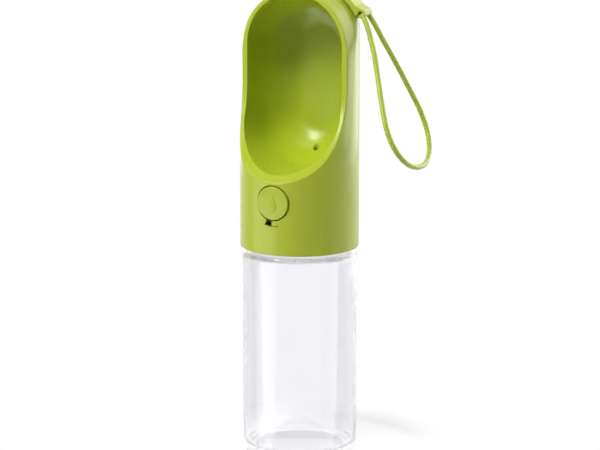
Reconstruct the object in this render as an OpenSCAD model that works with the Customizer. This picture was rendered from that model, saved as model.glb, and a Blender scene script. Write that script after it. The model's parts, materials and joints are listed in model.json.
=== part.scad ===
// Travel water bottle for dogs: a clear bottle under a head that holds a drinking trough.
// The origin is the centre of the bottle's base, +Z is up and the trough opens towards -Y.
// Pressing the button moves a valve, so that water runs from the tilted bottle into the trough.

/* [Bottle] */
// Step from the head's side in to the bottle's side
head_step = 1.25; // [0.5:0.25:3]
// Height of the bottle from its base to its shoulder
body_h = 120.2; // [90:0.2:180]
// Thickness of the bottle's wall
bottle_wall = 1.9; // [1.4:0.1:2.4]
// Thickness of the bottle's floor
floor_t = 3.2; // [2.6:0.1:5]
// Radius of the bottle's shoulder
shoulder_round = 3; // [2:0.5:5]
// Radius round the bottle's base
base_round = 2.5; // [1.5:0.5:3.5]
// Depth of the hollow under the base
base_hollow = 1.2; // [0.6:0.2:1.6]
// Width of the ring that the bottle stands on
foot_w = 5; // [3:0.5:8]
// Width of the bottle's shoulder from its side to the neck
shoulder_w = 8.45; // [8.25:0.1:10]
// Height of the neck above the shoulder
neck_h = 14.5; // [14:0.25:15]

/* [Screw thread] */
// Rise of the thread in one turn
thread_pitch = 5; // [4.5:0.5:6]
// Height of the bottle's thread above the neck
thread_h = 1.7; // [1.2:0.1:1.8]
// Turns of thread on the neck and in the collar
thread_turns = 1.5; // [1:0.25:1.75]
// Gap between the two threads
thread_gap = 0.4; // [0.3:0.05:0.5]

/* [Head] */
// Outer diameter of the head
head_d = 68; // [67:0.5:74]
// Gap between the bottle's shoulder and the head
head_gap = 0.8; // [0.5:0.1:1.5]
// Height of the head from its lower edge to the top of its arch
head_h = 149; // [140:1:170]
// Extra radius of the arch over the head's own radius
arch_extra = 0.6; // [0.4:0.1:1]
// How much larger the crown that rounds off the arch's back is than the head's radius
crown_extra = 8; // [6:0.5:12]
// Thickness of the head's outer shell
shell_wall = 1.8; // [1.5:0.1:2.2]
// Clearance between the shell and the pieces that fit inside it
shell_fit = 0.2; // [0.1:0.05:0.4]
// Distance of the upper rim in front of the bottle's axis
rim_forward = 6.8; // [4:0.2:9]
// Radius of the hollow curve that the rim follows down to the front
rim_curve_r = 66.5; // [64:0.5:70]
// Height of the rim's lowest point above the head's lower edge
rim_low_h = 41.5; // [41.5:0.1:44]

/* [Trough] */
// Width of the lip round the trough, seen from the front
lip_w = 4; // [3.6:0.1:5]
// Thickness of the lip's flange
lip_t = 1.5; // [1.2:0.1:1.8]
// Height of the trough's lower end above the head's lower edge
scoop_floor_h = 45.2; // [44.5:0.1:48]
// Distance from the trough's back wall to the back of the head
scoop_back = 8.5; // [8:0.1:10]
// Radius between the trough's sides and its back wall
scoop_round = 21; // [18:0.5:22]
// Thickness of the trough's wall
liner_wall = 1.8; // [1.4:0.1:2]
// Diameter of the hole that fills the trough
outlet_d = 3; // [2.4:0.1:3.6]
// Distance of that hole behind the bottle's axis
outlet_back = 21; // [20.5:0.1:21.3]

/* [Button and lock] */
// Height of the button's centre above the head's lower edge
button_h = 30; // [29:0.5:30.5]
// Diameter of the hole for the button
button_hole_d = 20.6; // [19:0.2:20.8]
// Gap round the button
button_gap = 0.7; // [0.5:0.05:0.9]
// Travel of the button
button_travel = 3.5; // [2:0.25:4]
// Thickness of the button's face
cap_face_t = 1.8; // [1.4:0.1:2.2]
// Depth of the button's skirt behind its face
skirt_depth = 4.7; // [4:0.1:5]
// Height by which the drop stands out of the button's face
drop_relief = 0.35; // [0.2:0.05:0.5]
// Radius of the drop's round end
drop_r = 2.6; // [2:0.1:3]
// Length of the drop from the middle of its round end to its tip
drop_l = 6.2; // [5:0.1:7]
// Turn of the lock, in degrees
lock_turn = 18; // [12:1:20]
// Width of the lock's ring
lock_ring_w = 2.4; // [2:0.1:2.6]
// Thickness of the lock's ring
lock_ring_t = 1.8; // [1.4:0.1:2]
// Radial length of the lock's nub and its slot
lock_nub_l = 2.9; // [2:0.1:3.2]

/* [Valve] */
// Outer radius of the valve's barrel
barrel_r = 7; // [6.6:0.1:7.2]
// Radius of the inlet chamber
inlet_chamber_r = 4.6; // [4.2:0.1:4.8]
// Radius of the outlet chamber
outlet_chamber_r = 5.2; // [5:0.1:5.4]
// Diameter of the valve's stem
stem_d = 3; // [2.6:0.1:3.2]
// Running clearance round the stem
stem_gap = 0.08; // [0.05:0.01:0.1]
// Radius of the hole in the valve's seat
seat_r = 3; // [2.6:0.1:3.2]
// Thickness of the valve's rubber disc
disc_t = 2.2; // [1.8:0.1:2.6]
// Diameter of the return spring's wire
spring_wire_d = 0.8; // [0.6:0.05:0.9]
// Mean radius of the return spring
spring_r = 4.1; // [4:0.05:4.3]
// Turns of the return spring
spring_turns = 6; // [5:1:7]

/* [Filter] */
// Clearance between the filter and the neck's bore
filter_gap = 3.4; // [2.4:0.2:4.4]
// Height of the filter's housing
filter_h = 13; // [11:0.5:13]
// Thickness of the filter's walls
filter_wall = 1.4; // [1:0.1:1.8]

/* [Strap] */
// Width of the strap's flat band
strap_w = 12; // [10:0.5:14]
// Thickness of the band
strap_t = 3.2; // [2.4:0.1:3.6]
// Distance of the band's middle in front of the head's back
strap_in = 19; // [18.5:0.5:20]
// Angle over the arch at which the band ends, in degrees
strap_angle = 59.5; // [56:0.5:62]
// Diameter of the pin that holds the strap
strap_pin_d = 2.5; // [2:0.1:3]
// Diameter of the strap's cord
cord_d = 3; // [2.6:0.1:3.2]

/* [Hidden] */
$fn = 96;
// Cuts run past the faces that they open by this much
past = 1;
// Faces that seal against each other stay this far apart
seal_gap = 0.05;
// Moving faces stay this far apart
run_gap = 0.3;
// Pieces that plug into each other have this clearance
plug_gap = 0.1;
span = 2 * head_d;

lime = [0.62, 0.70, 0.20];
dark_lime = [0.50, 0.58, 0.14];
clear = [0.90, 0.89, 0.93, 0.4];
white = [0.93, 0.93, 0.91];
silicone = [0.85, 0.86, 0.86];
steel = [0.72, 0.73, 0.75];
charcoal = [0.12, 0.12, 0.13];

head_r = head_d / 2;
bottle_r = head_r - head_step;
neck_r = bottle_r - shoulder_w;
neck_bore_r = neck_r - bottle_wall;
neck_top_z = body_h + neck_h;
inner_round = max(base_round, shoulder_round) + bottle_wall;

thread_base_w = 0.48 * thread_pitch;
thread_crest_w = 0.22 * thread_pitch;
thread_start_z = body_h + 4.5;
thread_lag = 120;
thread_fade = 40;
thread_step = 10;
thread_sink = 0.4;
thread_crest_r = neck_r + thread_h;
collar_start_z = thread_start_z + thread_pitch * (thread_lag / 360 - 0.5);

head_z = body_h + head_gap;
top_z = head_z + head_h;
arch_r = head_r + arch_extra;
crown_r = head_r + crown_extra;
arch_z = top_z - arch_r;
rim_y = -rim_forward;
rim_depth = head_r - rim_forward;
rim_z = head_z + rim_low_h + sqrt(rim_depth * (2 * rim_curve_r - rim_depth));
liner_inset = shell_wall + shell_fit;

gasket_t = 1.8;
gasket_in_r = neck_bore_r - 0.5;
gasket_out_r = neck_r + 1.3;
bulkhead_z = neck_top_z + gasket_t + 2 * seal_gap;
bulkhead_t = 2.5;
bulkhead_top = bulkhead_z + bulkhead_t;
collar_r = head_r - shell_wall - shell_fit;
collar_bore_r = thread_crest_r + thread_gap;
collar_tube_r = collar_bore_r + 2;
collar_z = head_z + 1;
collar_flange_t = 2;

screw_r = 1.1;
screw_head_r = 1.9;
screw_head_t = 1.6;
screw_l = 25;
screw_pillar_r = 2.7;
screw_circle_r = collar_r - screw_pillar_r - 0.1;
screw_angles = [35, 145, 215, 325];
screw_seat_z = collar_z + 4.5;
ledge_t = 2;
ledge_z = bulkhead_top + plug_gap;
ledge_w = 4;
post_r = 2.6;
post_z = ledge_z + ledge_t + plug_gap;

scoop_r = head_r - lip_w;
scoop_low_z = head_z + scoop_floor_h + scoop_r;
scoop_high_z = top_z - lip_w - scoop_r;
scoop_back_y = head_r - scoop_back;
scoop_flat_r = scoop_r - scoop_round;
scoop_round_y = scoop_back_y - scoop_round;
liner_drop = 12;
post_rise = 13;

button_z = head_z + button_h;
button_hole_r = button_hole_d / 2;
cap_r = button_hole_r - button_gap;
cap_edge = 0.5;
face_back_y = -head_r + cap_face_t;
skirt_end_y = face_back_y + skirt_depth;
skirt_t = 1.3;
hub_r = 3;
hub_l = 5;

guide_in_r = spring_r + spring_wire_d / 2 + 0.9;
guide_out_r = cap_r - skirt_t - run_gap;
guide_front_y = face_back_y + button_travel + run_gap;
cup_in_r = cap_r + run_gap;
cup_wall = 1.5;
cup_out_r = cup_in_r + cup_wall;
cup_floor_y = skirt_end_y + button_travel + run_gap + 0.1;
cup_floor_t = 2;
lock_in_r = cap_r + 0.4;
lock_out_r = lock_in_r + lock_ring_w;
lock_front_y = -sqrt(pow(head_r - shell_wall, 2) - pow(lock_out_r, 2)) + 0.5;
lock_back_y = lock_front_y + lock_ring_t;
cup_front_y = lock_back_y + run_gap + 0.1;
nub_from = -14;
nub_to = 2;
slot_play = 1.5;
nub_out_r = button_hole_r + lock_nub_l;
slot_out_r = nub_out_r + 0.4;
lock_arc_from = -80;
lock_arc_to = 62;

spring_seat_y = cup_floor_y + cup_floor_t + 1.1;
stem_r = stem_d / 2;
seal_w = 1.7;
guide_wall_t = 3.5;
seal_pocket_y = spring_seat_y + guide_wall_t;
seal_pocket_r = stem_r + seal_w;
seal_t = 1.8;
retainer_y = seal_pocket_y + seal_t + plug_gap;
retainer_t = 1.6;
chamber_y = retainer_y - 0.2;
seat_wall_y = 6;
seat_wall_t = 2;
seat_y = seat_wall_y + seat_wall_t;
barrel_end_y = outlet_back + 4;
disc_r = outlet_chamber_r - 0.9;
stem_flange_r = stem_r + 1.9;
stem_flange_t = 1.2;
stem_front_y = face_back_y + 1.2;
stem_bore_r = stem_r + stem_gap;
disc_y = seat_y + seal_gap;
disc_back_y = disc_y + disc_t;

inlet_y = 0;
inlet_tube_r = 4.5;
inlet_bore_r = 2.5;
socket_t = 1.5;
socket_in_r = inlet_tube_r + 0.2;
socket_h = button_z - barrel_r - bulkhead_top - 0.3;
inlet_gasket_t = 1;
inlet_tube_z = bulkhead_top + inlet_gasket_t + seal_gap;
ear_y = 12;
ear_x = 12;
ear_w = 6;
ear_t = 2;
ear_boss_r = 2.8;
ear_z = bulkhead_top + 5.6;
valve_screw_l = 7;

spigot_r = 2.8;
port_r = 1.6;
spigot_top_z = button_z + barrel_r + 4;
riser_in_r = spigot_r + plug_gap;
riser_out_r = riser_in_r + 1.4;
riser_low_z = button_z + barrel_r + 0.6;
riser_high_z = liner_under(outlet_back - riser_out_r) - 0.4;
drip_z = spigot_top_z + 1;

plug_r = outlet_chamber_r - plug_gap;
plug_y = barrel_end_y - 2.1;
plug_flange_r = barrel_r - 0.2;
plug_flange_t = 2;
oring_wire_r = 0.42;
oring_groove_w = 1.1;
oring_r = outlet_chamber_r - oring_wire_r - 0.03;
oring_y = plug_y + 1.05;

filter_r = neck_bore_r - filter_gap;
filter_in_r = filter_r - filter_wall;
boss_in_r = 10;
boss_out_r = 11.6;
filter_lid_t = 2;
filter_top_z = bulkhead_z - 2.6;
filter_low_z = filter_top_z - filter_h;
boss_low_z = filter_top_z + 0.3;
pad_t = 1.4;
pad_z = filter_low_z + filter_wall + plug_gap;
core_z = pad_z + pad_t + plug_gap;
core_top = filter_top_z - filter_lid_t - plug_gap;
slot_count = 8;
slot_w = 1.8;
lid_hole_r = 1.3;
lid_holes_r = 5;

strap_back = head_r - strap_in;
strap_gap = 0.6;
strap_in_r = arch_r + strap_gap;
strap_mid_r = strap_in_r + strap_t / 2;
strap_y = strap_back - strap_w / 2;
eye_r = 3.4;
pin_z = top_z + eye_r + 0.5;
pin_r = strap_pin_d / 2;
ear_thick = 2.5;
ear_side_gap = 0.3;
pin_l = strap_w + 2 * ear_side_gap + 2 * ear_thick;
pin_head_r = pin_r + 0.5;
pin_head_t = 0.6;
bulb_r = 2.8;
bulb_at_r = strap_in_r + bulb_r + 0.3;
bulb_x = bulb_at_r * sin(strap_angle);
bulb_z = arch_z + bulb_at_r * cos(strap_angle);
bulb_hole_r = 1.1;

// Route of one side of the strap's loop, from the bulb to its lowest point
// Each point is [x, sideways, z] from the middle of the bulb
loop_side = [
  [0.6, 3.2, -0.4], [2.3, 4, -3], [5.3, 5.3, -8.5], [8, 7, -14.6], [10.8, 9.2, -20.8],
  [13.2, 11.6, -26.8], [15.6, 14.2, -33], [18.3, 17.2, -40.3], [21.1, 20.1, -47.8],
  [23.8, 22.6, -54.8], [26.2, 24, -61.5], [28.3, 23.9, -66.8], [30.3, 22.6, -71.8],
  [32.4, 19.5, -76.8], [34.2, 14.5, -81.2], [35.6, 8, -84]
];
loop_low = [36.2, 0, -85];
cord_sides = 8;
loop_count = len(loop_side);
loop_route = [
  for (i = [0 : 2 * loop_count])
    i < loop_count ? loop_point(loop_side[i], -1)
    : i == loop_count ? loop_point(loop_low, 1)
    : loop_point(loop_side[2 * loop_count - i], 1)
];

// Places a point of the loop on one side or the other of the strap's middle
function loop_point(p, side) = [bulb_x + p[0], strap_back + side * p[1], bulb_z + p[2]];

// Height of the trough's underside at a distance behind the axis, on the middle line
function liner_under(y) =
  scoop_low_z - scoop_flat_r
  - sqrt(pow(scoop_round + liner_wall, 2) - pow(max(y - scoop_round_y, 0), 2));

function unit(v) = v / norm(v);

function direction(p, i) = unit(p[min(i + 1, len(p) - 1)] - p[max(i - 1, 0)]);

// Triangles of a tube of rings, with its two end faces
function tube_faces(rings, sides) = concat(
  [for (i = [0 : rings - 2], j = [0 : sides - 1], k = [0, 1])
    let (a = i * sides + j, b = i * sides + (j + 1) % sides)
    k == 0 ? [a, b, b + sides] : [a, b + sides, a + sides]],
  [for (j = [1 : sides - 2]) [0, j + 1, j]],
  [for (j = [1 : sides - 2], s = (rings - 1) * sides) [s, s + j, s + j + 1]]
);

// Round tube along a route, with a ring of points square to it at each point
module tube(route, r, sides) {
  across = unit(cross([0, 1, 0], route[len(route) - 1] - route[0] + [0.4, 0, -0.9] * norm(route[2])));
  points = [
    for (i = [0 : len(route) - 1], j = [0 : sides - 1])
      let (
        t = direction(route, i),
        a = unit(cross(t, across)),
        b = cross(a, t),
        turn = 360 * (j + 0.5) / sides
      )
      route[i] + r * (a * cos(turn) + b * sin(turn))
  ];
  polyhedron(points, tube_faces(len(route), sides), convexity = 10);
}

// Ridge of a screw thread, from the radius inside the wall that carries it to its crest
module thread_ridge(wall_r, crest_r, start_z, start_angle) {
  sink = wall_r + sign(wall_r - crest_r) * thread_sink;
  flush = wall_r + sign(wall_r - crest_r) * 0.1;
  steps = round(thread_turns * 360 / thread_step);
  inner = crest_r < wall_r;
  points = [
    for (i = [0 : steps], j = [0 : 3])
      let (
        turned = i * thread_step,
        fade = min(1, turned / thread_fade, (steps - i) * thread_step / thread_fade),
        crest = flush + (crest_r - flush) * fade,
        low = j < 2 ? -1 : 1,
        at_crest = inner ? (j == 0 || j == 3) : (j == 1 || j == 2),
        r = at_crest ? crest : sink,
        w = at_crest ? thread_crest_w : thread_base_w,
        angle = start_angle + turned
      )
      [r * cos(angle), r * sin(angle), start_z + thread_pitch * turned / 360 + low * w / 2]
  ];
  polyhedron(points, tube_faces(steps + 1, 4), convexity = 10);
}

// Outline with round corners of two radii, standing on the axis of a turned piece
module turned_outline(r, h, low_round, high_round) {
  flat = max(low_round, high_round);
  square([r - flat, h]);
  translate([0, low_round]) square([r, h - low_round - high_round]);
  square([r - low_round, low_round]);
  translate([0, h - high_round]) square([r - high_round, high_round]);
  translate([r - low_round, low_round]) circle(low_round);
  translate([r - high_round, h - high_round]) circle(high_round);
}

// Cylinder along +Y from one distance to another, on the button's axis
module along_y(r, from, to) {
  translate([0, from, button_z]) rotate([-90, 0, 0]) cylinder(r = r, h = to - from);
}

module ring_y(r_in, r_out, from, to) {
  difference() {
    along_y(r_out, from, to);
    along_y(r_in, from - past, to + past);
  }
}

module ring_z(r_in, r_out, from, to) {
  translate([0, 0, from]) difference() {
    cylinder(r = r_out, h = to - from);
    translate([0, 0, -past]) cylinder(r = r_in, h = to - from + 2 * past);
  }
}

// Head's outer form, drawn in from its surface, from a height up to its top
module head_form(inset, low) {
  intersection() {
    difference() {
      translate([0, 0, low]) cylinder(r = head_r - inset, h = top_z - low);
      difference() {
        translate([-span / 2, -span / 2, arch_z]) cube([span, span, span]);
        translate([0, -span, arch_z]) rotate([-90, 0, 0]) cylinder(r = arch_r - inset, h = 2 * span);
      }
    }
    union() {
      translate([-span / 2, -span / 2, low - past]) cube([span, span, arch_z - low + past]);
      translate([0, 0, arch_z]) sphere(r = crown_r - inset);
    }
  }
}

// What is cut away in front of the rim, reaching further back by a depth
module front_cut(depth) {
  translate([-span / 2, 0, 0]) rotate([90, 0, 90]) linear_extrude(span) {
    translate([rim_y - rim_curve_r, rim_z]) circle(r = rim_curve_r + depth, $fn = 192);
    translate([rim_y + depth - span, rim_z]) square([span, span]);
  }
}

// Outline of the trough from the bottle's axis to its side, seen from above
module scoop_half(grow) {
  round_r = scoop_round + grow;
  wide = scoop_r + grow;
  front = -head_r - past;
  translate([0, front]) square([wide, scoop_round_y - front]);
  translate([0, front]) square([scoop_flat_r, scoop_back_y + grow - front]);
  intersection() {
    translate([scoop_flat_r, scoop_round_y]) circle(r = round_r);
    translate([scoop_flat_r, scoop_round_y]) square([round_r, round_r]);
  }
}

// Space of the trough, drawn out from its surface by a wall
module scoop_form(grow) {
  translate([0, 0, scoop_low_z]) rotate([-90, 0, 0]) rotate_extrude(angle = 180) scoop_half(grow);
  translate([0, 0, scoop_high_z]) rotate([-90, 0, 0]) rotate([0, 0, 180])
    rotate_extrude(angle = 180) scoop_half(grow);
  for (side = [0, 1]) mirror([side, 0, 0])
    translate([0, 0, scoop_low_z]) linear_extrude(scoop_high_z - scoop_low_z) scoop_half(grow);
}

// Puts its children at each screw that holds the head together
module at_screws(z) {
  for (a = screw_angles) translate([screw_circle_r * cos(a), screw_circle_r * sin(a), z]) children();
}

module at_valve_ears(z) {
  for (side = [-1, 1]) translate([side * ear_x, ear_y, z]) children();
}

// Screw whose head's underside is at the origin and whose shaft runs up
module screw(l) {
  difference() {
    union() {
      translate([0, 0, -screw_head_t]) cylinder(r = screw_head_r, h = screw_head_t);
      cylinder(r = screw_r, h = l - 1);
      translate([0, 0, l - 1]) cylinder(r1 = screw_r, r2 = 0.4, h = 1);
    }
    for (a = [0, 90]) rotate([0, 0, a])
      translate([-1.2, -0.3, -screw_head_t - past]) cube([2.4, 0.6, past + 0.9]);
  }
}

// Wedge of a ring round the button's axis, between two angles from straight down towards -X
module button_wedge(r_in, r_out, from_angle, to_angle, from_y, to_y) {
  translate([0, to_y, button_z]) rotate([90, 0, 0]) rotate([0, 0, -90 - to_angle])
    rotate_extrude(angle = to_angle - from_angle)
    translate([r_in, 0]) square([r_out - r_in, to_y - from_y]);
}

module bottle() {
  color(clear) {
    difference() {
      union() {
        rotate_extrude() turned_outline(bottle_r, body_h, base_round, shoulder_round);
        translate([0, 0, body_h - past]) cylinder(r = neck_r, h = neck_h + past);
        thread_ridge(neck_r, thread_crest_r, thread_start_z, 0);
      }
      translate([0, 0, floor_t]) rotate_extrude()
        turned_outline(bottle_r - bottle_wall, body_h - floor_t - bottle_wall, inner_round, inner_round);
      translate([0, 0, body_h - bottle_wall - past]) cylinder(r = neck_bore_r, h = neck_h + 4);
      translate([0, 0, -past]) cylinder(r = bottle_r - base_round - foot_w, h = base_hollow + past);
    }
  }
}

module neck_gasket() {
  color(silicone) ring_z(gasket_in_r, gasket_out_r, neck_top_z + seal_gap, neck_top_z + seal_gap + gasket_t);
}

module head_shell() {
  color(lime) {
    difference() {
      union() {
        difference() {
          head_form(0, head_z);
          head_form(shell_wall, head_z - past);
        }
        difference() {
          ring_z(collar_r - ledge_w, head_r - shell_wall / 2, ledge_z, ledge_z + ledge_t);
          button_space(ledge_z, ledge_z + ledge_t);
        }
      }
      front_cut(0);
      along_y(button_hole_r, -head_r - past, -head_r + 6);
      button_wedge(
        button_hole_r - 1, slot_out_r, nub_from - slot_play, nub_to + lock_turn + slot_play,
        -head_r - past, -head_r + 6
      );
      along_y(lock_out_r + 0.4, lock_front_y - 0.4, cup_floor_y + cup_floor_t + 0.5);
      at_screws(ledge_z - past) cylinder(r = screw_r + 0.15, h = ledge_t + 2 * past);
    }
    for (y = [strap_y - ear_side_gap - ear_thick, strap_y + strap_w + ear_side_gap]) strap_ear(y);
  }
}

// Space in front of the neck's gasket in which the button and its lock move
module button_space(low, high) {
  half_w = slot_out_r + 1.5;
  translate([-half_w, -span, low - past]) cube([2 * half_w, span - gasket_out_r - 1, high - low + 2 * past]);
}

// Ear on the ridge of the arch that holds one end of the strap's pin
module strap_ear(y) {
  difference() {
    translate([0, y, 0]) rotate([90, 0, 0]) mirror([0, 0, 1]) linear_extrude(ear_thick) {
      translate([0, pin_z]) circle(r = eye_r);
      translate([-eye_r, top_z - shell_wall]) square([2 * eye_r, pin_z - top_z + shell_wall]);
    }
    translate([0, y - past, pin_z]) rotate([-90, 0, 0]) cylinder(r = pin_r + 0.02, h = ear_thick + 2 * past);
  }
}

module trough_liner() {
  color(lime) {
    difference() {
      union() {
        intersection() {
          union() {
            scoop_form(liner_wall);
            front_cut(lip_t);
          }
          head_form(liner_inset, scoop_low_z - scoop_r - liner_drop);
        }
        at_screws(post_z) cylinder(r = post_r, h = scoop_low_z - scoop_r + post_rise - post_z);
        translate([0, outlet_back, drip_z]) cylinder(r = spigot_r, h = liner_under(outlet_back) + 1.5 - drip_z);
      }
      scoop_form(0);
      front_cut(0);
      at_screws(post_z - past) cylinder(r = screw_r + 0.03, h = screw_l - (post_z - screw_seat_z) + 2);
      translate([0, outlet_back, drip_z - past])
        cylinder(d = outlet_d, h = riser_high_z - drip_z + scoop_round);
    }
  }
}

module thread_collar() {
  color(white) {
    difference() {
      union() {
        translate([0, 0, collar_z]) cylinder(r = collar_tube_r, h = bulkhead_z - collar_z + past);
        translate([0, 0, collar_z]) cylinder(r = collar_r, h = collar_flange_t);
        difference() {
          translate([0, 0, bulkhead_z]) cylinder(r = collar_r, h = bulkhead_t);
          button_space(bulkhead_z, bulkhead_top);
        }
        at_screws(collar_z) cylinder(r = screw_pillar_r, h = bulkhead_z - collar_z + past);
        ring_z(socket_in_r, socket_in_r + socket_t, bulkhead_top - past, bulkhead_top + socket_h);
        at_valve_ears(bulkhead_top - past) cylinder(r = ear_boss_r, h = ear_z - bulkhead_top + past - plug_gap);
      }
      translate([0, 0, collar_z - past]) cylinder(r = collar_bore_r, h = bulkhead_z - collar_z + past);
      translate([0, inlet_y, bulkhead_z - past]) cylinder(r = inlet_bore_r, h = bulkhead_t + 2 * past);
      at_screws(collar_z - past) cylinder(r = screw_head_r + 0.15, h = screw_seat_z - collar_z + past);
      at_screws(collar_z) cylinder(r = screw_r + 0.15, h = bulkhead_top - collar_z + past);
      at_valve_ears(ear_z - valve_screw_l + ear_t - 0.5) cylinder(r = screw_r + 0.03, h = valve_screw_l + past);
    }
    ring_z(boss_in_r, boss_out_r, boss_low_z, bulkhead_z + past / 2);
    thread_ridge(collar_bore_r, neck_r + thread_gap, collar_start_z, thread_lag);
  }
}

module head_screws() {
  color(steel) at_screws(screw_seat_z) screw(screw_l);
}

module filter_housing() {
  color(white) difference() {
    translate([0, 0, filter_low_z]) cylinder(r = filter_r, h = filter_h);
    translate([0, 0, filter_low_z + filter_wall]) cylinder(r = filter_in_r, h = filter_h);
    for (i = [0 : slot_count - 1]) rotate([0, 0, 360 * i / slot_count])
      translate([filter_in_r * 0.3, -slot_w / 2, filter_low_z - past])
      cube([filter_in_r * 0.55, slot_w, filter_wall + 2 * past]);
  }
}

module filter_lid() {
  color(white) difference() {
    union() {
      translate([0, 0, filter_top_z - filter_lid_t]) cylinder(r = filter_in_r - plug_gap, h = filter_lid_t);
      translate([0, 0, filter_top_z - past])
        cylinder(r = boss_in_r - plug_gap, h = bulkhead_z - filter_top_z - 0.3 + past);
    }
    translate([0, 0, filter_top_z])
      cylinder(r = boss_in_r - plug_gap - filter_wall, h = bulkhead_z - filter_top_z + past);
    for (i = [0 : 6]) rotate([0, 0, 60 * i])
      translate([i == 6 ? 0 : lid_holes_r, 0, filter_top_z - filter_lid_t - past])
        cylinder(r = lid_hole_r, h = filter_lid_t + 2 * past);
  }
}

module carbon_core() {
  color(charcoal) translate([0, 0, core_z]) cylinder(r = filter_in_r - plug_gap, h = core_top - core_z);
}

module filter_pad() {
  color(silicone) translate([0, 0, pad_z]) cylinder(r = filter_in_r - plug_gap, h = pad_t);
}

module valve_body() {
  color(white) difference() {
    union() {
      along_y(barrel_r, cup_floor_y + past, barrel_end_y);
      along_y(cup_out_r, cup_floor_y, cup_floor_y + cup_floor_t);
      ring_y(cup_in_r, cup_out_r, cup_front_y, cup_floor_y + past);
      along_y(guide_out_r, guide_front_y, cup_floor_y + past);
      translate([0, inlet_y, inlet_tube_z]) cylinder(r = inlet_tube_r, h = button_z - inlet_tube_z - 2);
      translate([-ear_x - ear_w / 2, ear_y - ear_w / 2, ear_z]) cube([2 * ear_x + ear_w, ear_w, ear_t]);
      translate([0, outlet_back, button_z]) cylinder(r = spigot_r, h = spigot_top_z - button_z);
    }
    along_y(guide_in_r, guide_front_y - past, spring_seat_y);
    along_y(stem_bore_r, spring_seat_y - past, seal_pocket_y + past);
    along_y(seal_pocket_r, seal_pocket_y, chamber_y + past);
    along_y(inlet_chamber_r, chamber_y, seat_wall_y);
    along_y(seat_r, seat_wall_y - past, seat_y + past);
    along_y(outlet_chamber_r, seat_y, barrel_end_y + past);
    translate([0, inlet_y, inlet_tube_z - past]) cylinder(r = inlet_bore_r, h = button_z - inlet_tube_z);
    translate([0, outlet_back, button_z]) cylinder(r = port_r, h = spigot_top_z - button_z + past);
    at_valve_ears(ear_z - past) cylinder(r = screw_r + 0.15, h = ear_t + 2 * past);
  }
}

module valve_screws() {
  color(steel) at_valve_ears(ear_z + ear_t) rotate([180, 0, 0]) screw(valve_screw_l);
}

module inlet_gasket() {
  color(silicone) ring_z(inlet_bore_r + 0.1, inlet_tube_r, bulkhead_top, bulkhead_top + inlet_gasket_t);
}

module riser_tube() {
  color(silicone) translate([0, outlet_back, 0]) ring_z(riser_in_r, riser_out_r, riser_low_z, riser_high_z);
}

module end_plug() {
  color(white) difference() {
    union() {
      along_y(plug_r, plug_y, barrel_end_y + past);
      along_y(plug_flange_r, barrel_end_y + plug_gap, barrel_end_y + plug_gap + plug_flange_t);
    }
    ring_y(
      oring_r - oring_wire_r - 0.03, plug_r + past,
      oring_y - oring_groove_w / 2, oring_y + oring_groove_w / 2
    );
  }
}

module plug_oring() {
  color(charcoal) translate([0, oring_y, button_z]) rotate([-90, 0, 0])
    rotate_extrude() translate([oring_r, 0]) circle(r = oring_wire_r, $fn = 24);
}

module shaft_seal() {
  color(charcoal) ring_y(stem_bore_r, seal_pocket_r - seal_gap, seal_pocket_y, seal_pocket_y + seal_t);
}

module seal_retainer() {
  color(white) ring_y(stem_bore_r + 0.2, inlet_chamber_r - seal_gap, retainer_y, retainer_y + retainer_t);
}

module valve_stem() {
  color(steel) {
    along_y(stem_r, stem_front_y, disc_back_y + past);
    along_y(stem_flange_r, disc_back_y + seal_gap, disc_back_y + seal_gap + stem_flange_t);
  }
}

module valve_disc() {
  color(charcoal) ring_y(stem_r + 0.02, disc_r, disc_y, disc_back_y);
}

spring_low_y = face_back_y + spring_wire_d / 2 + 0.1;
spring_high_y = spring_seat_y - spring_wire_d / 2 - 0.1;
spring_pitch = (spring_high_y - spring_low_y) / spring_turns;
spring_rings = 8;
spring_sides = 6;
echo(spring_gap = spring_pitch - spring_wire_d);

module return_spring() {
  steps = spring_turns * spring_rings;
  wire_r = spring_wire_d / 2;
  points = [
    for (i = [0 : steps], j = [0 : spring_sides - 1])
      let (
        turn = 360 * i / spring_rings,
        out = [cos(turn), 0, sin(turn)],
        along = unit([-sin(turn) * 2 * PI * spring_r, spring_pitch, cos(turn) * 2 * PI * spring_r]),
        up = cross(out, along),
        a = 360 * j / spring_sides
      )
      [0, spring_low_y + spring_pitch * i / spring_rings, button_z]
        + spring_r * out + wire_r * (out * cos(a) + up * sin(a))
  ];
  color(steel) polyhedron(points, tube_faces(steps + 1, spring_sides), convexity = 10);
}

// Water drop standing on its round end, as wide as its circle
module drop_outline(r, tall) {
  lean = asin(r / tall);
  steps = 20;
  arc = [for (i = [0 : steps]) 180 - lean + (180 + 2 * lean) * i / steps];
  polygon(concat([[0, tall]], [for (a = arc) [r * cos(a), r * sin(a)]]));
}

module button_cap() {
  color(dark_lime) {
    difference() {
      translate([0, -head_r, button_z]) rotate([-90, 0, 0]) rotate_extrude() polygon([
        [0, 0], [cap_r - cap_edge, 0], [cap_r, cap_edge],
        [cap_r, skirt_end_y + head_r], [0, skirt_end_y + head_r]
      ]);
      ring_y(hub_r, cap_r - skirt_t, face_back_y, skirt_end_y + past);
      along_y(hub_r + past, face_back_y + hub_l, skirt_end_y + past);
      along_y(stem_r + 0.02, stem_front_y - plug_gap, skirt_end_y + past);
    }
    translate([0, face_back_y - past / 2, button_z - (drop_l - drop_r) / 2]) rotate([90, 0, 0])
      linear_extrude(cap_face_t - past / 2 + drop_relief) drop_outline(drop_r, drop_l);
  }
}

module lock_ring() {
  color(dark_lime) {
    button_wedge(lock_in_r, lock_out_r, lock_arc_from, lock_arc_to, lock_front_y, lock_back_y);
    intersection() {
      button_wedge(button_hole_r, nub_out_r, nub_from, nub_to, -head_r - past, lock_back_y);
      translate([0, 0, head_z]) cylinder(r = head_r - 0.2, h = 2 * button_h);
    }
  }
}

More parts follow.
